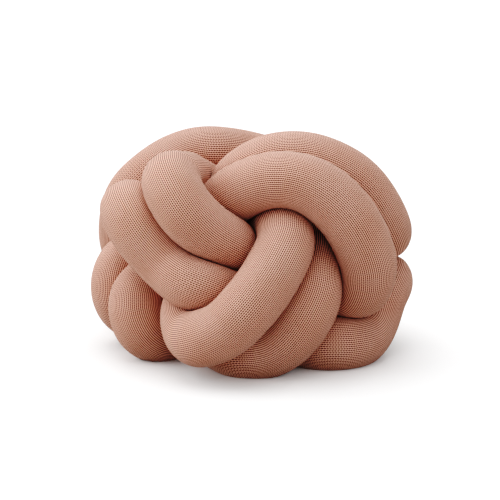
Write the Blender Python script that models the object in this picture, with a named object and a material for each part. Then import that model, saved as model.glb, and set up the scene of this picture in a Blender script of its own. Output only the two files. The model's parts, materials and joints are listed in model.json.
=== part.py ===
# Knot cushion: one long knitted tube, filled, closed end to end and tied into a ball.
# The tube is tied as three loops. Each crosses over the next at the front, around a small three-sided
# opening, and turns back under it. Each loop has a second run of the tube beside it, deeper in the ball,
# and the runs that close the ball pass round the back.
import bpy
import numpy as np

OBJECT_NAME = "knot_cushion"

# Sizes in millimetres.
TUBE_RADIUS = 27.8
SIDE_BY_SIDE = 47.0  # between the middles of two runs that press on each other
TIGHTEST_BEND = 25.5
VIEW_TILT_DEG = 14.0  # the stations are set out facing a view tilted down by this
REST_HEIGHT = 22.5  # of the tube's middle where it rests, so that it rests on a flat spot
PRESSED_FLAT = 2.5  # how far its weight presses the surface where it rests
LOWEST_RUN = -77.0  # height of the lowest run in the stations' own upright directions
GAP = 2.4  # left between two runs, so that the solid doesn't touch itself
MIDDLE_POINTS = 420
SETTLE_ROUNDS = 400
RINGS = 190
SIDES = 12

# How firmly a run keeps its station: across and up, then deep.
SEEN = (0.20, 0.03)
HIDDEN = (0.01, 0.01)

# The folds of the tube in order along it, each a table of stations of the tube's middle, in millimetres.
# Columns: across to the right, up in the view, deep into the ball.
FOLDS = (
    ("left loop, outer run", SEEN, (
        (-107, 37, -13),
        (-115, 38, -41),
        (-101, 14, -55),
        (-76, -13, -60),
        (-59, -27, -60),
        (-43, -39, -43),
    )),
    ("under the right loop", HIDDEN, (
        (0, -52, 13),
        (26, -67, 17),
        (49, -82, -4),
    )),
    ("low right turn", SEEN, (
        (66, -87, -19),
        (81, -85, -24),
        (95, -74, -13),
        (108, -58, 3),
        (120, -40, 19),
        (125, -24, 36),
    )),
    ("low back run", HIDDEN, (
        (111, -22, 62),
        (78, -44, 85),
        (17, -56, 91),
        (-44, -59, 87),
        (-87, -61, 77),
    )),
    ("far left turn", SEEN, (
        (-108, -57, 60),
        (-120, -44, 53),
        (-123, -29, 47),
        (-114, -13, 45),
        (-96, -4, 49),
    )),
    ("inner back run", HIDDEN, (
        (-66, -7, 87),
        (-19, -5, 102),
        (34, -1, 94),
        (70, 14, 70),
        (68, 50, 58),
        (34, 74, 77),
    )),
    ("top left turn", SEEN, (
        (-6, 87, 87),
        (-45, 91, 72),
        (-82, 77, 58),
        (-105, 55, 60),
        (-118, 28, 80),
        (-116, 3, 108),
    )),
    ("high back run", HIDDEN, (
        (-103, -1, 124),
        (-60, 18, 136),
        (0, 29, 136),
        (66, 29, 117),
        (111, 20, 79),
    )),
    ("right loop, outer run", SEEN, (
        (122, 14, 36),
        (121, 26, -2),
        (101, 58, -21),
        (71, 78, -26),
        (41, 85, -26),
        (9, 79, -19),
        (-19, 56, 4),
    )),
    ("behind the left loop", HIDDEN, (
        (-41, 24, 26),
        (-64, -10, 28),
    )),
    ("low left turn", SEEN, (
        (-90, -32, 13),
        (-104, -56, 8),
        (-94, -75, 9),
        (-62, -82, 17),
    )),
    ("front loop, outer run", SEEN, (
        (-13, -93, -40),
        (22, -88, -59),
        (45, -65, -67),
        (59, -32, -57),
        (54, -2, -23),
    )),
    ("behind the right loop", HIDDEN, (
        (51, 27, 23),
        (21, 46, 53),
        (-13, 50, 66),
    )),
    ("left loop, inner run", SEEN, (
        (-40, 43, 55),
        (-57, 61, 21),
        (-71, 66, -32),
        (-75, 62, -72),
        (-63, 39, -87),
        (-43, 18, -78),
        (-24, -2, -57),
        (-3, -18, -28),
    )),
    ("inside, low middle", HIDDEN, (
        (25, -39, -8),
        (53, -50, 13),
    )),
    ("right loop, inner run", SEEN, (
        (91, -44, -23),
        (108, -16, -55),
        (96, 20, -71),
        (74, 47, -77),
        (38, 67, -75),
        (0, 59, -60),
        (-30, 37, -36),
    )),
    ("inside, left middle", HIDDEN, (
        (-46, 5, -8),
        (-51, -22, 6),
    )),
    ("front loop, inner run", SEEN, (
        (-47, -46, -11),
        (-47, -61, -45),
        (-46, -75, -85),
        (-30, -75, -97),
        (-11, -58, -101),
        (11, -33, -101),
        (28, -3, -85),
        (32, 14, -49),
    )),
    ("inside, middle", HIDDEN, (
        (25, 10, 6),
        (-2, 14, 60),
        (-36, 27, 75),
        (-72, 31, 38),
    )),
)


def closed_curve(stations, steps=12):
    """A smooth closed curve through the stations, with each point's share of the way as rows."""
    before = np.roll(stations, 1, axis=0)
    after = np.roll(stations, -1, axis=0)
    beyond = np.roll(stations, -2, axis=0)
    rows = []
    for step in range(steps):
        t = step / steps
        rows.append(
            0.5
            * (
                2 * stations
                + (after - before) * t
                + (2 * before - 5 * stations + 4 * after - beyond) * t * t
                + (3 * stations - before - 3 * after + beyond) * t * t * t
            )
        )
    return np.stack(rows, axis=1).reshape(-1, stations.shape[1])


def along(points):
    """The distance along a closed curve to each point, and at the end its whole length."""
    steps = np.linalg.norm(np.roll(points[:, :3], -1, axis=0) - points[:, :3], axis=1)
    return np.concatenate([[0.0], np.cumsum(steps)])


def at_distances(points, distances):
    """The closed curve's columns at these distances along it."""
    marks = along(points)
    closed = np.vstack([points, points[:1]])
    wrapped = np.mod(distances, marks[-1])
    columns = [np.interp(wrapped, marks, closed[:, k]) for k in range(closed.shape[1])]
    return np.stack(columns, axis=1)


def evenly(points, count):
    return at_distances(points, np.linspace(0, along(points)[-1], count, endpoint=False))


def upright(points):
    """From the tilted view's directions to across, away and up from the surface it rests on."""
    tilt = np.radians(VIEW_TILT_DEG)
    across, up, deep = points[:, 0], points[:, 1], points[:, 2]
    away = up * np.sin(tilt) + deep * np.cos(tilt)
    height = up * np.cos(tilt) - deep * np.sin(tilt)
    return np.stack([across, away, height], axis=1)


def close_pairs(points):
    """Pairs of points that may press on each other, and how far apart each pair has to be."""
    marks = along(points)
    gaps = np.linalg.norm(points[:, None] - points[None], axis=2)
    first, second = np.where(np.triu(gaps < SIDE_BY_SIDE + 13, 1))
    apart = np.abs(marks[first] - marks[second])
    apart = np.minimum(apart, marks[-1] - apart)
    kept = apart > 21
    first, second, apart = first[kept], second[kept], apart[kept]
    bend = 2 * TIGHTEST_BEND
    chord = bend * np.sin(np.minimum(apart / bend, np.pi / 2))
    return first, second, np.minimum(chord, SIDE_BY_SIDE)


def settle(stations_at, hold_plane, hold_deep, rest):
    """Presses the runs apart until they lie side by side and every bend is one the filling allows."""
    points = stations_at.copy()
    count = len(points)
    tilt = np.radians(VIEW_TILT_DEG)
    for turn in range(SETTLE_ROUNDS):
        if turn % 15 == 0:
            first, second, least = close_pairs(points)
        near = (np.roll(points, 1, axis=0) + np.roll(points, -1, axis=0)) / 2
        far = (np.roll(points, 2, axis=0) + np.roll(points, -2, axis=0)) / 2
        stiff = (4 * near - far) / 3 - points
        points = points + 0.216 * stiff + 0.018 * (near - points)
        way = np.roll(points, -1, axis=0) - np.roll(points, 1, axis=0)
        way /= np.linalg.norm(way, axis=1)[:, None]
        pull = stations_at - points
        points[:, :2] += hold_plane[:, None] * pull[:, :2]
        points[:, 2] += hold_deep * pull[:, 2]
        points += 0.3 * ((near - points) * way).sum(axis=1)[:, None] * way
        for repeat in range(2):
            between = points[first] - points[second]
            gaps = np.linalg.norm(between, axis=1) + 1e-6
            short = np.maximum(least - gaps, 0)
            force = between / gaps[:, None] * short[:, None]
            push = np.stack(
                [
                    np.bincount(first, force[:, k], count) - np.bincount(second, force[:, k], count)
                    for k in range(3)
                ],
                axis=1,
            )
            total = np.bincount(first, short, count) + np.bincount(second, short, count)
            square = np.bincount(first, short**2, count) + np.bincount(second, short**2, count)
            size = np.linalg.norm(push, axis=1) + 1e-9
            step = 0.5 * np.minimum(size, square / np.maximum(total, 1e-9))
            points = points + push / size[:, None] * step[:, None]
        height = points[:, 1] * np.cos(tilt) - points[:, 2] * np.sin(tilt)
        sunk = np.maximum(rest - height, 0)
        points[:, 1] += sunk * np.cos(tilt)
        points[:, 2] -= sunk * np.sin(tilt)
    return points


def softened(points, passes):
    """Evens out small wriggles without drawing the bends in."""
    for _ in range(passes):
        near = (np.roll(points, 1, axis=0) + np.roll(points, -1, axis=0)) / 2
        far = (np.roll(points, 2, axis=0) + np.roll(points, -2, axis=0)) / 2
        points = points + 0.35 * ((4 * near - far) / 3 - points)
    return points


def tube_middle():
    """The settled middle line, in the upright directions, its lowest run at REST_HEIGHT."""
    rows = []
    for _, hold, stations in FOLDS:
        for station in stations:
            rows.append((*station, *hold))
    curve = closed_curve(np.array(rows, dtype=float))
    curve = evenly(curve, MIDDLE_POINTS)
    hold_plane = np.clip(curve[:, 3], HIDDEN[0], SEEN[0])
    hold_deep = np.clip(curve[:, 4], HIDDEN[1], SEEN[1])
    points = settle(curve[:, :3], hold_plane, hold_deep, LOWEST_RUN)
    points = softened(points, 6)
    middle = upright(points)
    middle[:, 2] += REST_HEIGHT - LOWEST_RUN
    return middle


def ring_places(middle, count):
    """Distances along the middle line for the rings, closer together where it bends."""
    marks = along(middle)
    spacing = marks[-1] / len(middle)
    turn = np.roll(middle, -1, axis=0) - 2 * middle + np.roll(middle, 1, axis=0)
    bend = np.linalg.norm(turn, axis=1) / spacing**2
    for _ in range(8):
        bend = (np.roll(bend, 1) + 2 * bend + np.roll(bend, -1)) / 4
    weight = np.sqrt(0.006 + bend)
    share = np.concatenate([[0.0], np.cumsum(weight)])
    wanted = np.linspace(0, share[-1], count, endpoint=False)
    return np.interp(wanted, share, marks)


def frames_along(points):
    """The way along and two directions square to it at each point, turned evenly so that they close up."""
    way = np.roll(points, -1, axis=0) - np.roll(points, 1, axis=0)
    way /= np.linalg.norm(way, axis=1)[:, None]
    count = len(points)
    side = np.zeros_like(points)
    start = np.cross(way[0], (0.0, 0.0, 1.0))
    side[0] = start / np.linalg.norm(start)
    for i in range(1, count + 1):
        carried = side[i - 1] - way[i % count] * np.dot(side[i - 1], way[i % count])
        carried /= np.linalg.norm(carried)
        if i < count:
            side[i] = carried
    other = np.cross(way, side)
    left_over = np.arctan2(np.dot(side[0], np.cross(way[0], carried)), np.dot(side[0], carried))
    spin = -left_over * np.arange(count) / count
    turned = side * np.cos(spin)[:, None] + other * np.sin(spin)[:, None]
    return way, turned, np.cross(way, turned)


def tube_rings(middle, count, sides, gap):
    """Points of each ring. A ring is round, and flat where another run, its own bend or the floor presses."""
    fine = evenly(middle, 900)
    fine_marks = np.arange(900) * along(fine)[-1] / 900
    places = ring_places(middle, count)
    centres = at_distances(middle, places)
    # The frames come from the fine line, so that they hardly depend on how many rings there are.
    way, side, other = frames_along(fine)
    frame = at_distances(np.hstack([fine, way, side, other]), places)
    way = frame[:, 3:6] / np.linalg.norm(frame[:, 3:6], axis=1)[:, None]
    side = frame[:, 6:9] - way * (frame[:, 6:9] * way).sum(axis=1)[:, None]
    side /= np.linalg.norm(side, axis=1)[:, None]
    other = np.cross(way, side)
    angles = np.arange(sides) * 2 * np.pi / sides
    rays = side[:, None] * np.cos(angles)[:, None] + other[:, None] * np.sin(angles)[:, None]
    radius = np.full((count, sides), TUBE_RADIUS)
    length = fine_marks[1] * 900
    for i in range(count):
        apart = np.abs(fine_marks - places[i])
        apart = np.minimum(apart, length - apart)
        toward = fine - centres[i]
        reach = np.linalg.norm(toward, axis=1)
        kept = (apart > 12) & (reach < 2 * TUBE_RADIUS + gap)
        toward, reach = toward[kept], reach[kept]
        facing = rays[i] @ (toward / reach[:, None]).T
        limit = (reach / 2 - gap / 2) / np.maximum(facing, 1e-6)
        radius[i] = np.minimum(radius[i], limit.min(axis=1))
    down = -rays[:, :, 2]
    floor = centres[:, 2][:, None] / np.maximum(down, 1e-6)
    limit = np.minimum(radius, floor)
    radius = limit.copy()
    # The cloth rounds off where a press begins.
    passes = np.round((count / 100, sides / 6)).astype(int)
    for turn in range(passes.max()):
        for axis in (0, 1):
            if turn < passes[axis]:
                ahead = np.roll(radius, 1, axis=axis)
                behind = np.roll(radius, -1, axis=axis)
                radius = (ahead + 2 * radius + behind) / 4
        radius = np.minimum(radius, limit)
    points = centres[:, None] + rays * radius[:, :, None]
    # Its weight presses the lowest runs flat.
    height = np.maximum(points[:, :, 2], 0.0)
    points[:, :, 2] = np.maximum(height - PRESSED_FLAT * np.exp(-height / PRESSED_FLAT), 0.0)
    return points, places


def centred(points):
    """The same points with the box's middle over the origin."""
    flat = points.reshape(-1, 3)
    middle = (flat.min(axis=0) + flat.max(axis=0)) / 2
    return points - np.array([middle[0], middle[1], 0.0])


def tube_mesh(name):
    points, _ = tube_rings(tube_middle(), RINGS, SIDES, GAP)
    points = centred(points) / 1000
    faces = []
    for ring in range(RINGS):
        ahead = (ring + 1) % RINGS
        for side in range(SIDES):
            beside = (side + 1) % SIDES
            faces.append(
                (
                    ring * SIDES + side,
                    ring * SIDES + beside,
                    ahead * SIDES + beside,
                    ahead * SIDES + side,
                )
            )
    mesh = bpy.data.meshes.new(name)
    mesh.from_pydata([tuple(p) for p in points.reshape(-1, 3)], [], faces)
    mesh.validate()
    mesh.update()
    return mesh


def cloth_material(name):
    material = bpy.data.materials.new(name)
    material.use_nodes = True
    shader = material.node_tree.nodes["Principled BSDF"]
    shader.inputs["Base Color"].default_value = (0.56, 0.29, 0.20, 1.0)
    shader.inputs["Roughness"].default_value = 0.9
    return material


def build():
    for old in list(bpy.data.objects):
        bpy.data.objects.remove(old, do_unlink=True)
    collection = bpy.data.collections.new(OBJECT_NAME)
    bpy.context.scene.collection.children.link(collection)
    mesh = tube_mesh(OBJECT_NAME)
    mesh.materials.append(cloth_material("knit"))
    cushion = bpy.data.objects.new(OBJECT_NAME, mesh)
    collection.objects.link(cushion)


build()
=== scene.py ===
# The looks of the knot cushion: its knitted tube as a fine mesh, the knit, floor, light and camera.
import json

import bpy
import numpy as np
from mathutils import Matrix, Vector

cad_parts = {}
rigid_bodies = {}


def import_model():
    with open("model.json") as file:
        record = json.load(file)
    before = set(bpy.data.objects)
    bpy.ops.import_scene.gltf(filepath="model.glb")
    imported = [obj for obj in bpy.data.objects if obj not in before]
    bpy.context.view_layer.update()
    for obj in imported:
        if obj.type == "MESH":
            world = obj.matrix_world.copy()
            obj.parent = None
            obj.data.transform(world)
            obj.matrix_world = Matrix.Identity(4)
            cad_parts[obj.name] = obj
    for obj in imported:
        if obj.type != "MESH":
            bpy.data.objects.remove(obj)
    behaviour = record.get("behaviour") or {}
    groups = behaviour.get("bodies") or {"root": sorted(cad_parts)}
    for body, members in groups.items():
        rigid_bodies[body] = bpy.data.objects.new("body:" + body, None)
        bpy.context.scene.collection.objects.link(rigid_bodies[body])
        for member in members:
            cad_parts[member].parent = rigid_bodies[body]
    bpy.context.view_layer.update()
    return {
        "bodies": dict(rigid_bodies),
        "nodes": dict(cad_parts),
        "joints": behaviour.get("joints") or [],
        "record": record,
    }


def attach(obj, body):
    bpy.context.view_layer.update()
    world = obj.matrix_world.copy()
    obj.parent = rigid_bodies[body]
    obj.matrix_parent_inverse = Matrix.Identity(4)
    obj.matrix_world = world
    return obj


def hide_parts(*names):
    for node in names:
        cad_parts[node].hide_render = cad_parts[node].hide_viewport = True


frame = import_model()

# Sizes in millimetres.
TUBE_RADIUS = 27.8
SIDE_BY_SIDE = 47.0  # between the middles of two runs that press on each other
TIGHTEST_BEND = 25.5
VIEW_TILT_DEG = 14.0  # the stations are set out facing a view tilted down by this
REST_HEIGHT = 22.5  # of the tube's middle where it rests, so that it rests on a flat spot
PRESSED_FLAT = 2.5  # how far its weight presses the surface where it rests
LOWEST_RUN = -77.0  # height of the lowest run in the stations' own upright directions
GAP = 0.6  # left between two runs
MIDDLE_POINTS = 420

# Settling, a round at a time. Distances are in millimetres, the others are shares of the way to go.
SETTLE_ROUNDS = 400
ROUNDS_PER_SEARCH = 15  # between two searches for points that may press on each other
SEARCH_PAST = 13.0  # how much farther than SIDE_BY_SIDE that search looks
FREE_ALONG = 21.0  # points this near along the tube don't press on each other
TO_SMOOTH_BEND = 0.216
TO_STRAIGHT = 0.018
TO_EVEN_SPACING = 0.3
TO_SIDE_BY_SIDE = 0.5
PUSHES_PER_ROUND = 2
SOFTENING = 0.35  # of one pass over the settled line
SOFTEN_PASSES = 6

# The rings of the swept tube.
FRAME_POINTS = 900  # of the finer line that turns the rings and presses on them
OWN_BEND = 12.0  # millimetres along the tube within which it doesn't press on itself
BEND_PASSES = 8  # that smooth the bend before the rings are set out by it
STRAIGHT_WEIGHT = 0.006  # so that a straight run gets rings too
RINGS_PER_PASS = 100  # the press is rounded off by one pass for so many rings along,
SIDES_PER_PASS = 6  # and by one for so many sides round
TINY = 1e-6  # keeps a division from ending in nothing

# How firmly a run keeps its station: across and up, then deep.
SEEN = (0.20, 0.03)
HIDDEN = (0.01, 0.01)

# The folds of the tube in order along it, each a table of stations of the tube's middle.
# Columns, in millimetres: across to the right, up in the view, deep into the ball.
FOLDS = (
    ("left loop, outer run", SEEN, (
        (-107, 37, -13),
        (-115, 38, -41),
        (-101, 14, -55),
        (-76, -13, -60),
        (-59, -27, -60),
        (-43, -39, -43),
    )),
    ("under the right loop", HIDDEN, (
        (0, -52, 13),
        (26, -67, 17),
        (49, -82, -4),
    )),
    ("low right turn", SEEN, (
        (66, -87, -19),
        (81, -85, -24),
        (95, -74, -13),
        (108, -58, 3),
        (120, -40, 19),
        (125, -24, 36),
    )),
    ("low back run", HIDDEN, (
        (111, -22, 62),
        (78, -44, 85),
        (17, -56, 91),
        (-44, -59, 87),
        (-87, -61, 77),
    )),
    ("far left turn", SEEN, (
        (-108, -57, 60),
        (-120, -44, 53),
        (-123, -29, 47),
        (-114, -13, 45),
        (-96, -4, 49),
    )),
    ("inner back run", HIDDEN, (
        (-66, -7, 87),
        (-19, -5, 102),
        (34, -1, 94),
        (70, 14, 70),
        (68, 50, 58),
        (34, 74, 77),
    )),
    ("top left turn", SEEN, (
        (-6, 87, 87),
        (-45, 91, 72),
        (-82, 77, 58),
        (-105, 55, 60),
        (-118, 28, 80),
        (-116, 3, 108),
    )),
    ("high back run", HIDDEN, (
        (-103, -1, 124),
        (-60, 18, 136),
        (0, 29, 136),
        (66, 29, 117),
        (111, 20, 79),
    )),
    ("right loop, outer run", SEEN, (
        (122, 14, 36),
        (121, 26, -2),
        (101, 58, -21),
        (71, 78, -26),
        (41, 85, -26),
        (9, 79, -19),
        (-19, 56, 4),
    )),
    ("behind the left loop", HIDDEN, (
        (-41, 24, 26),
        (-64, -10, 28),
    )),
    ("low left turn", SEEN, (
        (-90, -32, 13),
        (-104, -56, 8),
        (-94, -75, 9),
        (-62, -82, 17),
    )),
    ("front loop, outer run", SEEN, (
        (-13, -93, -40),
        (22, -88, -59),
        (45, -65, -67),
        (59, -32, -57),
        (54, -2, -23),
    )),
    ("behind the right loop", HIDDEN, (
        (51, 27, 23),
        (21, 46, 53),
        (-13, 50, 66),
    )),
    ("left loop, inner run", SEEN, (
        (-40, 43, 55),
        (-57, 61, 21),
        (-71, 66, -32),
        (-75, 62, -72),
        (-63, 39, -87),
        (-43, 18, -78),
        (-24, -2, -57),
        (-3, -18, -28),
    )),
    ("inside, low middle", HIDDEN, (
        (25, -39, -8),
        (53, -50, 13),
    )),
    ("right loop, inner run", SEEN, (
        (91, -44, -23),
        (108, -16, -55),
        (96, 20, -71),
        (74, 47, -77),
        (38, 67, -75),
        (0, 59, -60),
        (-30, 37, -36),
    )),
    ("inside, left middle", HIDDEN, (
        (-46, 5, -8),
        (-51, -22, 6),
    )),
    ("front loop, inner run", SEEN, (
        (-47, -46, -11),
        (-47, -61, -45),
        (-46, -75, -85),
        (-30, -75, -97),
        (-11, -58, -101),
        (11, -33, -101),
        (28, -3, -85),
        (32, 14, -49),
    )),
    ("inside, middle", HIDDEN, (
        (25, 10, 6),
        (-2, 14, 60),
        (-36, 27, 75),
        (-72, 31, 38),
    )),
)


def closed_curve(stations, steps=12):
    """A smooth closed curve through the stations, with each point's share of the way as rows."""
    before = np.roll(stations, 1, axis=0)
    after = np.roll(stations, -1, axis=0)
    beyond = np.roll(stations, -2, axis=0)
    rows = []
    for step in range(steps):
        t = step / steps
        rows.append(
            0.5
            * (
                2 * stations
                + (after - before) * t
                + (2 * before - 5 * stations + 4 * after - beyond) * t * t
                + (3 * stations - before - 3 * after + beyond) * t * t * t
            )
        )
    return np.stack(rows, axis=1).reshape(-1, stations.shape[1])


def along(points):
    """The distance along a closed curve to each point, and at the end its whole length."""
    steps = np.linalg.norm(np.roll(points[:, :3], -1, axis=0) - points[:, :3], axis=1)
    return np.concatenate([[0.0], np.cumsum(steps)])


def at_distances(points, distances):
    """The closed curve's columns at these distances along it."""
    marks = along(points)
    closed = np.vstack([points, points[:1]])
    wrapped = np.mod(distances, marks[-1])
    columns = [np.interp(wrapped, marks, closed[:, k]) for k in range(closed.shape[1])]
    return np.stack(columns, axis=1)


def evenly(points, count):
    return at_distances(points, np.linspace(0, along(points)[-1], count, endpoint=False))


def upright(points):
    """From the tilted view's directions to across, away and up from the surface it rests on."""
    tilt = np.radians(VIEW_TILT_DEG)
    across, up, deep = points[:, 0], points[:, 1], points[:, 2]
    away = up * np.sin(tilt) + deep * np.cos(tilt)
    height = up * np.cos(tilt) - deep * np.sin(tilt)
    return np.stack([across, away, height], axis=1)


def close_pairs(points):
    """Pairs of points that may press on each other, and how far apart each pair has to be."""
    marks = along(points)
    gaps = np.linalg.norm(points[:, None] - points[None], axis=2)
    first, second = np.where(np.triu(gaps < SIDE_BY_SIDE + SEARCH_PAST, 1))
    apart = np.abs(marks[first] - marks[second])
    apart = np.minimum(apart, marks[-1] - apart)
    kept = apart > FREE_ALONG
    first, second, apart = first[kept], second[kept], apart[kept]
    bend = 2 * TIGHTEST_BEND
    chord = bend * np.sin(np.minimum(apart / bend, np.pi / 2))
    return first, second, np.minimum(chord, SIDE_BY_SIDE)


def beside(points):
    """The middle between each point's two neighbours, and between the two beyond them."""
    near = (np.roll(points, 1, axis=0) + np.roll(points, -1, axis=0)) / 2
    far = (np.roll(points, 2, axis=0) + np.roll(points, -2, axis=0)) / 2
    return near, far


def ways(points):
    """The direction along a closed curve at each point."""
    way = np.roll(points, -1, axis=0) - np.roll(points, 1, axis=0)
    return way / np.linalg.norm(way, axis=1)[:, None]


def sums(first, second, values, count):
    """What each point gets in all from the pairs that it belongs to."""
    return np.bincount(first, values, count) + np.bincount(second, values, count)


def settle(stations_at, hold_plane, hold_deep, rest):
    """Presses the runs apart until they lie side by side and each bend is one the filling allows."""
    points = stations_at.copy()
    count = len(points)
    tilt = np.radians(VIEW_TILT_DEG)
    for turn in range(SETTLE_ROUNDS):
        if turn % ROUNDS_PER_SEARCH == 0:
            first, second, least = close_pairs(points)
        near, far = beside(points)
        stiff = (4 * near - far) / 3 - points
        points = points + TO_SMOOTH_BEND * stiff + TO_STRAIGHT * (near - points)
        way = ways(points)
        pull = stations_at - points
        points[:, :2] += hold_plane[:, None] * pull[:, :2]
        points[:, 2] += hold_deep * pull[:, 2]
        points += TO_EVEN_SPACING * ((near - points) * way).sum(axis=1)[:, None] * way
        for _ in range(PUSHES_PER_ROUND):
            between = points[first] - points[second]
            gaps = np.linalg.norm(between, axis=1) + TINY
            short = np.maximum(least - gaps, 0)
            force = between / gaps[:, None] * short[:, None]
            push = np.stack(
                [
                    np.bincount(first, force[:, k], count) - np.bincount(second, force[:, k], count)
                    for k in range(3)
                ],
                axis=1,
            )
            total = sums(first, second, short, count)
            square = sums(first, second, short**2, count)
            size = np.linalg.norm(push, axis=1) + 1e-9
            step = TO_SIDE_BY_SIDE * np.minimum(size, square / np.maximum(total, 1e-9))
            points = points + push / size[:, None] * step[:, None]
        height = points[:, 1] * np.cos(tilt) - points[:, 2] * np.sin(tilt)
        sunk = np.maximum(rest - height, 0)
        points[:, 1] += sunk * np.cos(tilt)
        points[:, 2] -= sunk * np.sin(tilt)
    return points


def softened(points, passes):
    """Evens out small wriggles without drawing the bends in."""
    for _ in range(passes):
        near, far = beside(points)
        points = points + SOFTENING * ((4 * near - far) / 3 - points)
    return points


def tube_middle():
    """The settled middle line, in the upright directions, its lowest run at REST_HEIGHT."""
    rows = []
    for _, hold, stations in FOLDS:
        for station in stations:
            rows.append((*station, *hold))
    curve = closed_curve(np.array(rows, dtype=float))
    curve = evenly(curve, MIDDLE_POINTS)
    hold_plane = np.clip(curve[:, 3], HIDDEN[0], SEEN[0])
    hold_deep = np.clip(curve[:, 4], HIDDEN[1], SEEN[1])
    points = settle(curve[:, :3], hold_plane, hold_deep, LOWEST_RUN)
    points = softened(points, SOFTEN_PASSES)
    middle = upright(points)
    middle[:, 2] += REST_HEIGHT - LOWEST_RUN
    return middle


def bend_along(middle, spacing, passes):
    """How much the line bends at each point: one over the bend's radius, smoothed."""
    turn = np.roll(middle, -1, axis=0) - 2 * middle + np.roll(middle, 1, axis=0)
    bend = np.linalg.norm(turn, axis=1) / spacing**2
    for _ in range(passes):
        bend = (np.roll(bend, 1) + 2 * bend + np.roll(bend, -1)) / 4
    return bend


def ring_places(middle, count):
    """Distances along the middle line for the rings, closer together where it bends."""
    marks = along(middle)
    bend = bend_along(middle, marks[-1] / len(middle), BEND_PASSES)
    weight = np.sqrt(STRAIGHT_WEIGHT + bend)
    share = np.concatenate([[0.0], np.cumsum(weight)])
    wanted = np.linspace(0, share[-1], count, endpoint=False)
    return np.interp(wanted, share, marks)


def frames_along(points):
    """The way along and two directions square to it, turned evenly so that they close up."""
    way = ways(points)
    count = len(points)
    side = np.zeros_like(points)
    start = np.cross(way[0], (0.0, 0.0, 1.0))
    side[0] = start / np.linalg.norm(start)
    for i in range(1, count + 1):
        carried = side[i - 1] - way[i % count] * np.dot(side[i - 1], way[i % count])
        carried /= np.linalg.norm(carried)
        if i < count:
            side[i] = carried
    other = np.cross(way, side)
    left_over = np.arctan2(np.dot(side[0], np.cross(way[0], carried)), np.dot(side[0], carried))
    spin = -left_over * np.arange(count) / count
    turned = side * np.cos(spin)[:, None] + other * np.sin(spin)[:, None]
    return way, turned, np.cross(way, turned)


def tube_rings(middle, count, sides, gap):
    """Points of each ring. It is round, and flat where a run, its own bend or the floor presses."""
    fine = evenly(middle, FRAME_POINTS)
    fine_marks = np.arange(FRAME_POINTS) * along(fine)[-1] / FRAME_POINTS
    places = ring_places(middle, count)
    centres = at_distances(middle, places)
    # The frames come from the fine line, so that they hardly depend on how many rings there are.
    way, side, other = frames_along(fine)
    frame = at_distances(np.hstack([fine, way, side, other]), places)
    way = frame[:, 3:6] / np.linalg.norm(frame[:, 3:6], axis=1)[:, None]
    side = frame[:, 6:9] - way * (frame[:, 6:9] * way).sum(axis=1)[:, None]
    side /= np.linalg.norm(side, axis=1)[:, None]
    other = np.cross(way, side)
    angles = np.arange(sides) * 2 * np.pi / sides
    rays = side[:, None] * np.cos(angles)[:, None] + other[:, None] * np.sin(angles)[:, None]
    radius = np.full((count, sides), TUBE_RADIUS)
    length = fine_marks[1] * FRAME_POINTS
    for i in range(count):
        apart = np.abs(fine_marks - places[i])
        apart = np.minimum(apart, length - apart)
        toward = fine - centres[i]
        reach = np.linalg.norm(toward, axis=1)
        kept = (apart > OWN_BEND) & (reach < 2 * TUBE_RADIUS + gap)
        toward, reach = toward[kept], reach[kept]
        facing = rays[i] @ (toward / reach[:, None]).T
        limit = (reach / 2 - gap / 2) / np.maximum(facing, TINY)
        radius[i] = np.minimum(radius[i], limit.min(axis=1))
    down = -rays[:, :, 2]
    floor = centres[:, 2][:, None] / np.maximum(down, TINY)
    limit = np.minimum(radius, floor)
    radius = limit.copy()
    # The cloth rounds off where a press begins.
    passes = np.round((count / RINGS_PER_PASS, sides / SIDES_PER_PASS)).astype(int)
    for turn in range(passes.max()):
        for axis in (0, 1):
            if turn < passes[axis]:
                ahead = np.roll(radius, 1, axis=axis)
                behind = np.roll(radius, -1, axis=axis)
                radius = (ahead + 2 * radius + behind) / 4
        radius = np.minimum(radius, limit)
    points = centres[:, None] + rays * radius[:, :, None]
    # Its weight presses the lowest runs flat.
    height = np.maximum(points[:, :, 2], 0.0)
    points[:, :, 2] = np.maximum(height - PRESSED_FLAT * np.exp(-height / PRESSED_FLAT), 0.0)
    return points, places


# The visible tube.
RINGS = 1000
SIDES = 72
FINE_STEPS = 6  # between two points of the settled line, so that the fine mesh shows no corners
MM_PER_METRE = 1000

# Stretches where the fine mesh would show an uneven bend, as shares of the way along the tube, and
# the passes that even them out: the right loop's arch over the front loop, and a hidden bend at the
# left.
EVENED = ((0.780, 0.838, 400), (0.945, 0.998, 100))
EVENED_ENDS = 0.012  # the share over which it sets in

# The filling's unevenness, as waves: how many along the tube, and round it, the start, and the size
# as a share of the radius.
SWELLS = (
    (23, 1, 0.4, 0.004),
    (37, 2, 1.9, 0.0035),
    (61, 1, 3.1, 0.003),
    (89, 3, 5.0, 0.002),
)

# The knit. Its cloth creeps round a bend, so more of its rows lie there.
STITCHES_ROUND = 46
STITCHES_ALONG = 2630
CREEP_MOST = 1.2  # it creeps no further where the tube bends tighter than this
CREEP_PASSES = 12
LEG_LEAN = -0.5  # rows
LEG_HEIGHT = -0.65  # how far a leg fills the gap between two rows
ROW_DEPTH = 0.16
BUMP_STRENGTH = 0.6
BUMP_DEPTH = 0.0006  # metres

# The knit's colours, linear, and how they mix.
YARN = (0.780, 0.422, 0.330, 1.0)
YARN_LIGHT = (0.850, 0.502, 0.410, 1.0)
# Painted shade: the colour of the pits between the stitches.
YARN_PIT_PAINTED_SHADE = (0.070, 0.024, 0.013, 1.0)
FUZZ = (1.0, 0.80, 0.70, 1.0)
BLOTCH_SCALE = 26.0
BLOTCH_GAIN, BLOTCH_START = 1.6, -0.3
FLECK_SCALE = 900.0
FLECK_GAIN = 0.3
# How the stitches' height sets where the pits get painted shade.
HEIGHT_GAIN, HEIGHT_START = 2.6, -1.35

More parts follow.
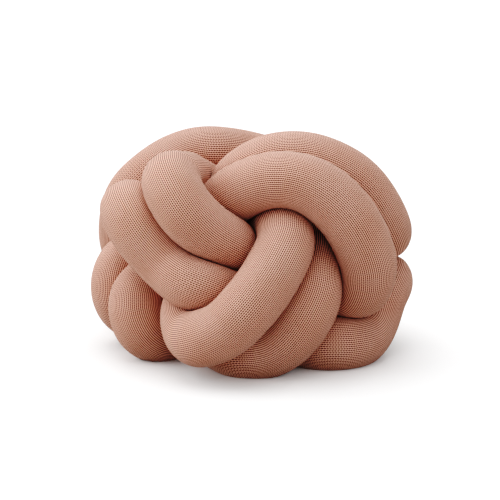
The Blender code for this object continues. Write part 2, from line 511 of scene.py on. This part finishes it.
# The floor that shows, and the duller one that sends light back.
FLOOR_HALF = 12.0  # metres
FLOOR_DARK = (0.84, 0.845, 0.85, 1.0)
FLOOR_LIGHT = (0.86, 0.865, 0.87, 1.0)
FLOOR_GLOW = 0.42
PAINTED_SHADOW_REACH = 0.06  # metres from the cushion over which the glow is dimmed, a painted contact shadow
WHITE = (1.0, 1.0, 1.0, 1.0)
BOUNCE = (0.40, 0.35, 0.32, 1.0)
BOUNCE_HEIGHT = -0.0002  # metres

# The light: a world that is bright above the horizon only, and lamps by name, direction, strength.
FROM_BELOW = (0.0, 0.0, 0.0, 1.0)
FROM_ABOVE = (0.278, 0.278, 0.278, 1.0)
HORIZON = (0.49, 0.51)
LAMP_WIDTH = 52  # degrees that each lamp looks wide
LAMPS = (
    ("left", (-1.0, -0.03, 0.53), 1.95),
    ("top", (0.0, 0.0, 1.0), 1.25),
    ("back", (0.0, 1.0, 1.0), 0.90),
    ("back left", (-1.0, 1.0, 1.2), 0.81),
    ("front", (0.0, -1.0, 0.15), 0.88),
    ("right", (1.0, -0.35, 0.42), 0.50),
)

# The picture's tone, as places on a curve: brightness made, brightness shown.
TONE = (
    (0.0, 0.0),
    (0.059, 0.02),
    (0.088, 0.05),
    (0.151, 0.14),
    (0.227, 0.25),
    (0.307, 0.35),
    (0.456, 0.50),
    (0.65, 0.65),
    (1.0, 0.87),
    (1.28, 1.0),
)
WHOLE_CURVE = 3  # the one for all three colours

# The picture, aimed at a place in the stations' own directions, in millimetres.
SEEN_ACROSS = 471.5
AIM = (-1.9, 0.9, 0.0)
CAMERA_AWAY = 5.0  # metres
SENSOR = 36.0


def centred(points):
    """The same points with the box's middle over the origin, and how far they moved."""
    flat = points.reshape(-1, 3)
    middle = (flat.min(axis=0) + flat.max(axis=0)) / 2
    shift = np.array([middle[0], middle[1], 0.0])
    return points - shift, shift


def uneven(points, centres, places, length):
    """Swells and thins the tube a little, as its filling is not quite even."""
    along_way = places / length * 2 * np.pi
    round_way = np.arange(points.shape[1]) * 2 * np.pi / points.shape[1]
    swell = np.zeros(points.shape[:2])
    for waves, turns, phase, size in SWELLS:
        swell += size * np.sin(waves * along_way[:, None] + turns * round_way[None] + phase)
    return centres + (points - centres) * (1 + swell)[:, :, None]


def evened(middle):
    """The middle line with its bend spread evenly along a few stretches."""
    share = np.arange(len(middle)) / len(middle)
    for begin, end, passes in EVENED:
        inside = np.minimum(share - begin, end - share)
        hold = np.clip(inside / EVENED_ENDS, 0.0, 1.0)[:, None]
        middle = middle + hold * (softened(middle, passes) - middle)
    return middle


def knit_rows(middle, places):
    """The number of the knit's row at each ring, and at the end of the last one."""
    length = along(middle)[-1]
    middle = evenly(middle, MIDDLE_POINTS)
    marks = along(middle) * length / along(middle)[-1]
    bend = bend_along(middle, marks[-1] / len(middle), CREEP_PASSES)
    creep = np.minimum(TUBE_RADIUS * bend, CREEP_MOST) ** 3
    rows = np.concatenate([[0.0], np.cumsum(1 + creep)])
    return np.interp(np.append(places, marks[-1]), marks, rows) / rows[-1] * STITCHES_ALONG


def add_knit_map(mesh, rows):
    """Tells the material which column and row of the knit lies at each corner of each face."""
    knit = mesh.uv_layers.new(name="knit")
    stitch = np.empty((RINGS, SIDES, 4, 2))
    columns = np.arange(SIDES) * STITCHES_ROUND / SIDES
    wide = STITCHES_ROUND / SIDES
    for corner, (over, up) in enumerate(((0, 0), (1, 0), (1, 1), (0, 1))):
        stitch[:, :, corner, 0] = columns[None] + over * wide
        stitch[:, :, corner, 1] = rows[up : RINGS + up][:, None]
    knit.data.foreach_set("uv", stitch.reshape(-1))


def tube_faces():
    """Each face's four corners, ring by ring."""
    faces = []
    for ring in range(RINGS):
        here = ring * SIDES
        ahead = (ring + 1) % RINGS * SIDES
        for side in range(SIDES):
            next_side = (side + 1) % SIDES
            faces.append((here + side, here + next_side, ahead + next_side, ahead + side))
    return faces


def tube_mesh(name):
    """The fine tube, and how far it moved so as to stand over the origin."""
    middle = closed_curve(evened(tube_middle()), FINE_STEPS)
    points, places = tube_rings(middle, RINGS, SIDES, GAP)
    centres = at_distances(middle, places)[:, None]
    points = uneven(points, centres, places, along(middle)[-1])
    points[:, :, 2] = np.maximum(points[:, :, 2], 0.0)
    points, shift = centred(points)
    mesh = bpy.data.meshes.new(name)
    mesh.from_pydata([tuple(p) for p in points.reshape(-1, 3) / MM_PER_METRE], [], tube_faces())
    for polygon in mesh.polygons:
        polygon.use_smooth = True
    add_knit_map(mesh, knit_rows(middle, places))
    mesh.update()
    return mesh, shift


class Nodes:
    """Adds nodes to a material and joins them up. A key such as i2 is the number of an input."""

    def __init__(self, name):
        self.material = bpy.data.materials.new(name)
        self.material.use_nodes = True
        self.tree = self.material.node_tree
        self.shader = self.tree.nodes["Principled BSDF"]

    def add(self, kind, settings=None, **inputs):
        node = self.tree.nodes.new(kind)
        for key, value in (settings or {}).items():
            setattr(node, key, value)
        for key, value in inputs.items():
            self.feed(node, key, value)
        return node

    def feed(self, node, key, value):
        numbered = key[0] == "i" and key[1:].isdigit()
        socket = node.inputs[int(key[1:])] if numbered else node.inputs[key]
        if isinstance(value, bpy.types.NodeSocket):
            self.tree.links.new(value, socket)
        else:
            socket.default_value = value

    def set(self, **values):
        """Sets the shader's own inputs."""
        for key, value in values.items():
            self.feed(self.shader, key.replace("_", " "), value)

    def math(self, operation, *values, clamp=False):
        node = self.add("ShaderNodeMath", {"operation": operation, "use_clamp": clamp})
        for index, value in enumerate(values):
            self.feed(node, f"i{index}", value)
        return node.outputs[0]

    def mix(self, share, first, second):
        node = self.add("ShaderNodeMix", {"data_type": "RGBA"}, i0=share, i6=first, i7=second)
        return node.outputs[2]

    def place(self):
        return self.add("ShaderNodeTexCoord").outputs["Object"]

    def noise(self, place, scale, detail):
        node = self.add("ShaderNodeTexNoise", Vector=place, Scale=scale, Detail=detail)
        return node.outputs["Fac"]


def stitch_height(n):
    """How high the knit stands: columns of nested V-shaped stitches, and pits between them. It
    drives the bump and the painted shade in the pits.
    """
    uv = n.add("ShaderNodeUVMap", {"uv_map": "knit"}).outputs[0]
    split = n.add("ShaderNodeSeparateXYZ", i0=uv)
    column = n.math("FRACT", split.outputs[0])
    off_centre = n.math("MULTIPLY", n.math("ABSOLUTE", n.math("SUBTRACT", column, 0.5)), 2.0)
    # The two legs of a stitch lean apart, so that one column's pits lie beside the next one's legs.
    lean = n.math("MULTIPLY_ADD", off_centre, LEG_LEAN, split.outputs[1])
    wave = n.math("COSINE", n.math("MULTIPLY", lean, 2 * np.pi))
    strand = n.math("MULTIPLY_ADD", wave, 0.5, 0.5)
    leg = n.math("SINE", n.math("MULTIPLY", off_centre, np.pi))
    # Deepest where the gap between two legs meets the gap between two rows.
    row_gap = n.math("MULTIPLY_ADD", strand, LEG_HEIGHT, 1.0)
    pit = n.math("MULTIPLY", n.math("SUBTRACT", 1.0, leg), row_gap)
    return n.math("SUBTRACT", 1.0, n.math("MULTIPLY_ADD", row_gap, ROW_DEPTH, pit))


def knit_material(name):
    """Fine plain knit in a soft yarn, with painted shade darkening its pits."""
    n = Nodes(name)
    height = stitch_height(n)
    place = n.place()
    blotch = n.noise(place, BLOTCH_SCALE, 3.0)
    fleck = n.noise(place, FLECK_SCALE, 2.0)
    lighter = n.math("MULTIPLY_ADD", blotch, BLOTCH_GAIN, BLOTCH_START, clamp=True)
    yarn = n.mix(lighter, YARN, YARN_LIGHT)
    flecked = n.math("MULTIPLY_ADD", fleck, FLECK_GAIN, HEIGHT_START)
    # Painted shade: the pits between the stitches are darkened in the colour, not only by the bump.
    painted_shade_share = n.math("MULTIPLY_ADD", height, HEIGHT_GAIN, flecked, clamp=True)
    bump = n.add("ShaderNodeBump", Strength=BUMP_STRENGTH, Distance=BUMP_DEPTH, Height=height)
    n.set(Base_Color=n.mix(painted_shade_share, YARN_PIT_PAINTED_SHADE, yarn), Normal=bump.outputs[0])
    n.set(Roughness=0.92, Specular_IOR_Level=0.15)
    n.set(Sheen_Weight=0.25, Sheen_Roughness=0.45, Sheen_Tint=FUZZ)
    return n.material


def floor_material(name):
    """Pale and matt, with a faint even glow. Close to the cushion the glow is dimmed as a painted
    contact shadow, on top of the real shadow the lamps cast.
    """
    n = Nodes(name)
    grain = n.noise(n.place(), 3.0, 2.0)
    # Painted shadow: the glow is dimmed where the cushion stands close, which darkens the floor
    # round its foot.
    near = n.add("ShaderNodeAmbientOcclusion", {"samples": 16}, Distance=PAINTED_SHADOW_REACH)
    glow_less_painted_shadow = n.math("MULTIPLY", near.outputs["AO"], FLOOR_GLOW)
    n.set(Base_Color=n.mix(grain, FLOOR_DARK, FLOOR_LIGHT), Roughness=0.7)
    n.set(Emission_Color=WHITE, Emission_Strength=glow_less_painted_shadow)
    return n.material


def bounce_material(name):
    n = Nodes(name)
    n.set(Base_Color=BOUNCE, Roughness=1.0)
    return n.material


def add_object(name, data):
    thing = bpy.data.objects.new(name, data)
    bpy.context.scene.collection.objects.link(thing)
    return thing


def face(thing, toward, forward):
    """Turns the object so that its forward axis points that way."""
    thing.rotation_mode = "QUATERNION"
    thing.rotation_quaternion = toward.to_track_quat(forward, "Y")


def cushion():
    """The knitted tube, in the plain solid's place. Gives how far it moved toward the origin."""
    mesh, shift = tube_mesh("knitted_tube")
    mesh.materials.append(knit_material("fine_knit"))
    tube = add_object("knitted_tube", mesh)
    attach(tube, "root")
    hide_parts("knot_cushion")
    return shift


def wide_plane(name, material, height):
    mesh = bpy.data.meshes.new(name)
    half = FLOOR_HALF
    corners = [(-half, -half), (half, -half), (half, half), (-half, half)]
    mesh.from_pydata([(x, y, height) for x, y in corners], [], [(0, 1, 2, 3)])
    mesh.materials.append(material)
    plane = add_object(name, mesh)
    return plane


def floor():
    """The floor that shows, and just under it a duller one that sends light back up."""
    shown = wide_plane("floor", floor_material("pale_floor"), 0.0)
    shown.visible_diffuse = False
    shown.visible_glossy = False
    shown.visible_shadow = False
    sender = wide_plane("floor_bounce", bounce_material("floor_bounce"), BOUNCE_HEIGHT)
    sender.visible_camera = False


def lamp(name, toward, strength):
    """A wide, far light from that direction."""
    data = bpy.data.lights.new(name, "SUN")
    data.energy = strength
    data.angle = np.radians(LAMP_WIDTH)
    light = add_object(name, data)
    light.location = Vector(toward).normalized() * 3
    face(light, Vector(toward), "Z")


def world_light():
    """The world: soft light from above the horizon only."""
    world = bpy.data.worlds.new("studio")
    bpy.context.scene.world = world
    world.use_nodes = True
    nodes, links = world.node_tree.nodes, world.node_tree.links
    split = nodes.new("ShaderNodeSeparateXYZ")
    links.new(nodes.new("ShaderNodeTexCoord").outputs["Generated"], split.inputs[0])
    upward = nodes.new("ShaderNodeMath")
    upward.operation = "MULTIPLY_ADD"
    upward.inputs[1].default_value = 0.5
    upward.inputs[2].default_value = 0.5
    links.new(split.outputs[2], upward.inputs[0])
    ramp = nodes.new("ShaderNodeValToRGB")
    links.new(upward.outputs[0], ramp.inputs[0])
    for stop, place, colour in zip(ramp.color_ramp.elements, HORIZON, (FROM_BELOW, FROM_ABOVE)):
        stop.position = place
        stop.color = colour
    links.new(ramp.outputs[0], nodes["Background"].inputs["Color"])


def tone():
    """A photograph's tone: deeper shadows and gently held highlights."""
    settings = bpy.context.scene.view_settings
    settings.view_transform = "Standard"
    settings.use_curve_mapping = True
    curve = settings.curve_mapping.curves[WHOLE_CURVE]
    curve.points[0].location = TONE[0]
    curve.points[1].location = TONE[-1]
    for place in TONE[1:-1]:
        curve.points.new(*place)
    settings.curve_mapping.clip_max_x = TONE[-1][0]
    settings.curve_mapping.update()


def studio():
    world_light()
    for name, toward, strength in LAMPS:
        lamp(name, toward, strength)
    tone()


def camera(shift):
    """The photograph's view of the cushion."""
    aim = upright(np.array([AIM]))[0] + (0.0, 0.0, REST_HEIGHT - LOWEST_RUN) - shift
    aim = Vector(aim / MM_PER_METRE)
    tilt = np.radians(VIEW_TILT_DEG)
    toward = Vector((0.0, -np.cos(tilt), np.sin(tilt)))
    data = bpy.data.cameras.new("camera")
    data.sensor_width = SENSOR
    data.lens = SENSOR * CAMERA_AWAY / (SEEN_ACROSS / MM_PER_METRE)
    eye = add_object("camera", data)
    eye.location = aim + toward * CAMERA_AWAY
    face(eye, -toward, "-Z")
    bpy.context.scene.camera = eye


shift = cushion()
floor()
studio()
camera(shift)
